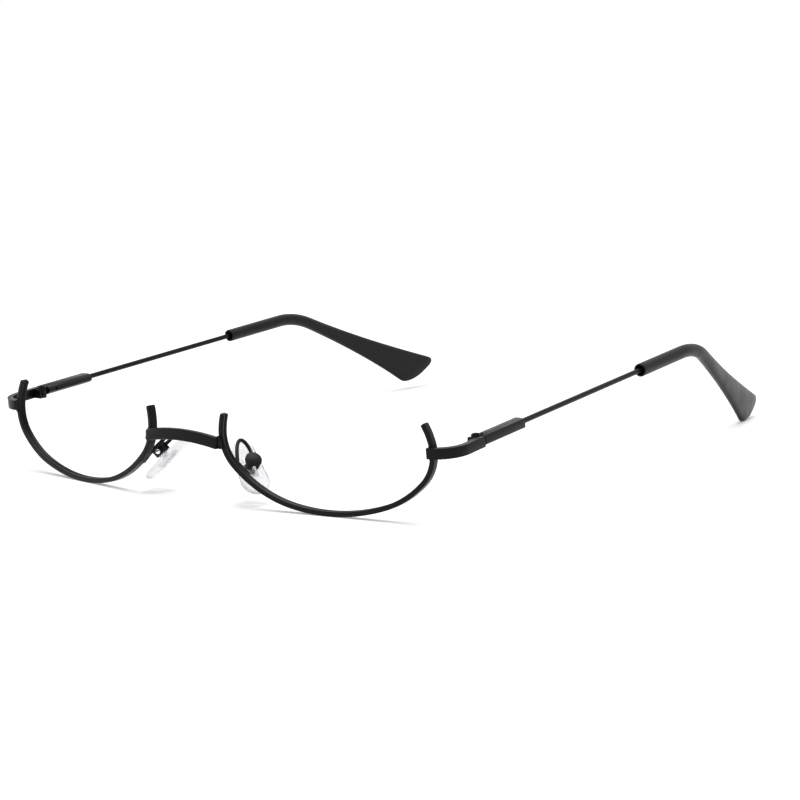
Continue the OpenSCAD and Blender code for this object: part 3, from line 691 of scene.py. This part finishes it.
for side_name, side in SIDES:
    bend_end = bend_ends[side]
    rings = [tip_ring(mouth_start + deep, side, radius=mouth_radius)
             for deep in (mouth_deep, mouth_deep - bore_bottom, bore_top)]
    lip = (tip_radius - mouth_radius) / 2
    for angle in range(0, 181, 20):
        rings.append(tip_ring(mouth_start + lip - lip * math.sin(math.radians(angle)), side,
                              radius=mouth_radius + lip - lip * math.cos(math.radians(angle))))
    rings += [tip_ring(d, side) for d in spread(mouth_start + 1 * mm, bend_start, 8)]
    rings += [tip_ring(d, side) for d in spread(bend_start, bend_end, 26)[1:]]
    rings += [tip_ring(d, side) for d in
              spread(bend_end, bend_end + paddle_long - lower_corner, 30)[1:]]
    for angle in range(8, 89, 8):
        reach = lower_corner * math.sin(math.radians(angle))
        rings.append(tip_ring(bend_end + paddle_long - lower_corner + reach, side))
    rings.append(tip_ring(bend_end + paddle_long - end_round, side, shrink=end_shrink))
    tip = loft("ear_sleeve_" + side_name, rings, tip_plastic)
    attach(tip, "temple_" + side_name)
    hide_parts("ear_tip_" + side_name)

# Pad arms
# A short wire soldered behind each rim and bent in an open loop, so that the
# pad can be moved. Its other end is soldered into the pad's cup.
arm_radius = 0.425 * mm
pad_place = Vector((12.2 * mm, rim_plane_y + 2.6 * mm, 7.5 * mm))
pad_lean = math.radians(44.5)
pad_turn = math.radians(66)
lug_reach = 2.4 * mm
cup_high = 1.9 * mm
cup_end = lug_reach + cup_high / 2 + 0.08 * mm
foot_pull = Vector((-5.4, 4.7, 7.4)) * mm
cup_pull = Vector((-3.5, 3.2, 2.8)) * mm
arm_in_cup = arm_radius * 1.2
arm_steps = 32
foot_drops = ((0.05, 0.42 * mm), (0.45, 0.5 * mm), (0.85, 0.46 * mm))


def from_pad(p, side=1):
    """A place given on the pad (across, along, towards the cup)."""
    turned = Matrix.Rotation(pad_turn, 3, "Z") @ Matrix.Rotation(pad_lean, 3, "X") @ Vector(p)
    placed = turned + pad_place
    return Vector((side * placed.x, placed.y, placed.z))


def rim_at(arc, share):
    """A point of the rim's middle line on one of its arcs."""
    route = rim_route()
    counts = [arc_steps(turn) for radius, turn in rim_arcs]
    return route[sum(counts[:arc]) + round(counts[arc] * share)]


foot_low_at = rim_at(4, 0.79)
foot_high_at = rim_at(5, 0.04)
foot_back = rim_depth / 2 + arm_radius
for side_name, side in SIDES:
    foot_low = from_rim(foot_low_at.x, foot_back, foot_low_at.y)
    foot_high = from_rim(foot_high_at.x, foot_back, foot_high_at.y)
    cup_back = from_pad((0, 0, cup_end - arm_in_cup))
    pull_1 = foot_high + foot_pull
    pull_2 = cup_back + cup_pull
    route = [foot_low, foot_low.lerp(foot_high, 0.6)]
    for i in range(arm_steps + 1):
        t = i / arm_steps
        route.append((1 - t) ** 3 * foot_high + 3 * (1 - t) ** 2 * t * pull_1
                     + 3 * (1 - t) * t ** 2 * pull_2 + t ** 3 * cup_back)
    arm = grow("pad_wire_" + side_name, wire_tree,
               [Vector((side * p.x, p.y, p.z)) for p in route],
               {"Radius": arm_radius, "Sides": 18, "Finish": frame_paint})
    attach(arm, "front")
    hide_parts("pad_arm_" + side_name)
    drops = []
    for share, size in foot_drops:
        place = foot_low.lerp(foot_high, share)
        drops.append((Vector((side * place.x, place.y - arm_radius * 0.8, place.z)),
                      (size, drop_half_deep, size * 1.3), side * face_form))
    solder("foot_solder_" + side_name, drops, "front")

# Cups and screws
# A round turned box on the arm's end, slotted for the pad's lug, and a small
# bright screw that crosses both.
bright_nickel = bare_steel("bright_nickel", 0.93, 0.16)
for side_name, side in SIDES:
    softened("pad_box_" + side_name, "pad_cup_" + side_name, 0.1 * mm, frame_paint,
             "front")
    softened("cross_screw_" + side_name, "pad_screw_" + side_name, 0.04 * mm, bright_nickel,
             "front")

# Nose pads
# A clear silicone pad moulded round a small hard core: teardrop shaped, domed
# towards the nose and nearly flat towards the cup.
pad_long = 13.9 * mm
pad_low_radius = 3.3 * mm
pad_high_radius = 2.6 * mm
pad_thick = 2.2 * mm
pad_round_steps = 28
flank_shares = (0.25, 0.5, 0.75)


def clear_silicone():
    """Clear soft silicone with a faint cloudiness and a skin that is not quite
    smooth."""
    material = bpy.data.materials.new("clear_silicone")
    material.use_nodes = True
    nodes, links = material.node_tree.nodes, material.node_tree.links
    shader = nodes["Principled BSDF"]
    shader.inputs["Base Color"].default_value = (0.87, 0.87, 0.89, 1)
    shader.inputs["Transmission Weight"].default_value = 0.78
    shader.inputs["IOR"].default_value = 1.18
    place = nodes.new("ShaderNodeTexCoord")
    cloud = nodes.new("ShaderNodeTexNoise")
    cloud.inputs["Scale"].default_value = 900
    cloud.inputs["Detail"].default_value = 4
    links.new(place.outputs["Object"], cloud.inputs["Vector"])
    gloss = nodes.new("ShaderNodeMapRange")
    gloss.inputs["To Min"].default_value = 0.1
    gloss.inputs["To Max"].default_value = 0.22
    links.new(cloud.outputs["Fac"], gloss.inputs["Value"])
    links.new(gloss.outputs["Result"], shader.inputs["Roughness"])
    bump = nodes.new("ShaderNodeBump")
    bump.inputs["Strength"].default_value = 0.04
    bump.inputs["Distance"].default_value = 0.05 * mm
    links.new(cloud.outputs["Fac"], bump.inputs["Height"])
    links.new(bump.outputs["Normal"], shader.inputs["Normal"])
    return material


silicone = clear_silicone()


def pad_outline():
    """The pad's teardrop outline: a broad and a narrow round, joined straight."""
    low_at = pad_low_radius - pad_long / 2
    high_at = pad_long / 2 - pad_high_radius
    flank = math.asin((pad_low_radius - pad_high_radius) / (high_at - low_at))

    def around(radius, middle, start, stop):
        return [(radius * math.cos(angle), middle + radius * math.sin(angle))
                for angle in spread(start, stop, pad_round_steps)]

    def beside(share, sign):
        radius = pad_high_radius + (pad_low_radius - pad_high_radius) * share
        return (sign * radius * math.cos(flank),
                high_at + (low_at - high_at) * share + math.sin(flank) * radius)

    return (around(pad_high_radius, high_at, flank, math.pi - flank)
            + [beside(share, -1) for share in flank_shares]
            + around(pad_low_radius, low_at, math.pi - flank, 2 * math.pi + flank)
            + [beside(share, 1) for share in reversed(flank_shares)])


pad_profile = [(0.08, -0.5), (0.35, -0.495), (0.6, -0.48), (0.78, -0.44), (0.9, -0.36), (0.965, -0.25),
               (0.995, -0.1), (1.0, 0.06), (0.985, 0.24), (0.95, 0.36), (0.88, 0.44), (0.7, 0.485),
               (0.4, 0.498), (0.08, 0.5)]
for side_name, side in SIDES:
    outline = pad_outline()
    rings = [[from_pad((x * share, y * share, pad_thick * level), side) for x, y in outline]
             for share, level in pad_profile]
    pad = loft("clear_pad_" + side_name, rings, silicone)
    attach(pad, "pad_" + side_name)
    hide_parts("nose_pad_" + side_name)
    softened("pad_insert_" + side_name, "pad_core_" + side_name, 0.08 * mm, bright_nickel,
             "pad_" + side_name)

# Table and light
# A plain pale table that runs out of the picture, a white sky for the camera
# and for reflections, and one large soft lamp above the frame.
table_half = 1.6
table_glow = 0.3
sky_light = 0.36


def seen_white(tree):
    """One for camera, transmission and glossy rays, and none for the others."""
    rays = tree.nodes.new("ShaderNodeLightPath")
    through = worked_out(tree, "MAXIMUM", rays.outputs["Is Camera Ray"],
                         rays.outputs["Is Transmission Ray"])
    return worked_out(tree, "MAXIMUM", through, rays.outputs["Is Glossy Ray"])


table_mesh = bpy.data.meshes.new("table_top")
table_mesh.from_pydata(
    [(-table_half, -table_half, 0), (table_half, -table_half, 0),
     (table_half, table_half, 0), (-table_half, table_half, 0)], [], [(0, 1, 2, 3)])
table_top = bpy.data.objects.new("table_top", table_mesh)
bpy.context.collection.objects.link(table_top)
table_paint = bpy.data.materials.new("table_white")
table_paint.use_nodes = True
nodes, links = table_paint.node_tree.nodes, table_paint.node_tree.links
nodes.clear()
surface = nodes.new("ShaderNodeOutputMaterial")
white = nodes.new("ShaderNodeBsdfDiffuse")
white.inputs["Color"].default_value = (0.93, 0.93, 0.93, 1)
glow = nodes.new("ShaderNodeEmission")
glow_level = worked_out(table_paint.node_tree, "MULTIPLY", seen_white(table_paint.node_tree),
                        table_glow)
links.new(glow_level, glow.inputs["Strength"])
both = nodes.new("ShaderNodeAddShader")
links.new(white.outputs[0], both.inputs[0])
links.new(glow.outputs[0], both.inputs[1])
links.new(both.outputs[0], surface.inputs["Surface"])
table_mesh.materials.append(table_paint)

world = bpy.data.worlds.new("white_sky")
bpy.context.scene.world = world
world.use_nodes = True
nodes, links = world.node_tree.nodes, world.node_tree.links
nodes.clear()
sky_out = nodes.new("ShaderNodeOutputWorld")
sky = nodes.new("ShaderNodeBackground")
sky.inputs["Color"].default_value = (1, 1, 1, 1)
sky_level = nodes.new("ShaderNodeMapRange")
sky_level.inputs["To Min"].default_value = sky_light
sky_level.inputs["To Max"].default_value = 1.0
links.new(seen_white(world.node_tree), sky_level.inputs["Value"])
links.new(sky_level.outputs["Result"], sky.inputs["Strength"])
links.new(sky.outputs[0], sky_out.inputs["Surface"])

lamp_data = bpy.data.lights.new("soft_lamp", "SUN")
lamp_data.energy = 2.2
lamp_data.angle = math.radians(46)
lamp = bpy.data.objects.new("soft_lamp", lamp_data)
bpy.context.collection.objects.link(lamp)
lamp.rotation_euler = (math.radians(-3), math.radians(-2), 0)

bpy.context.scene.view_settings.view_transform = "Standard"
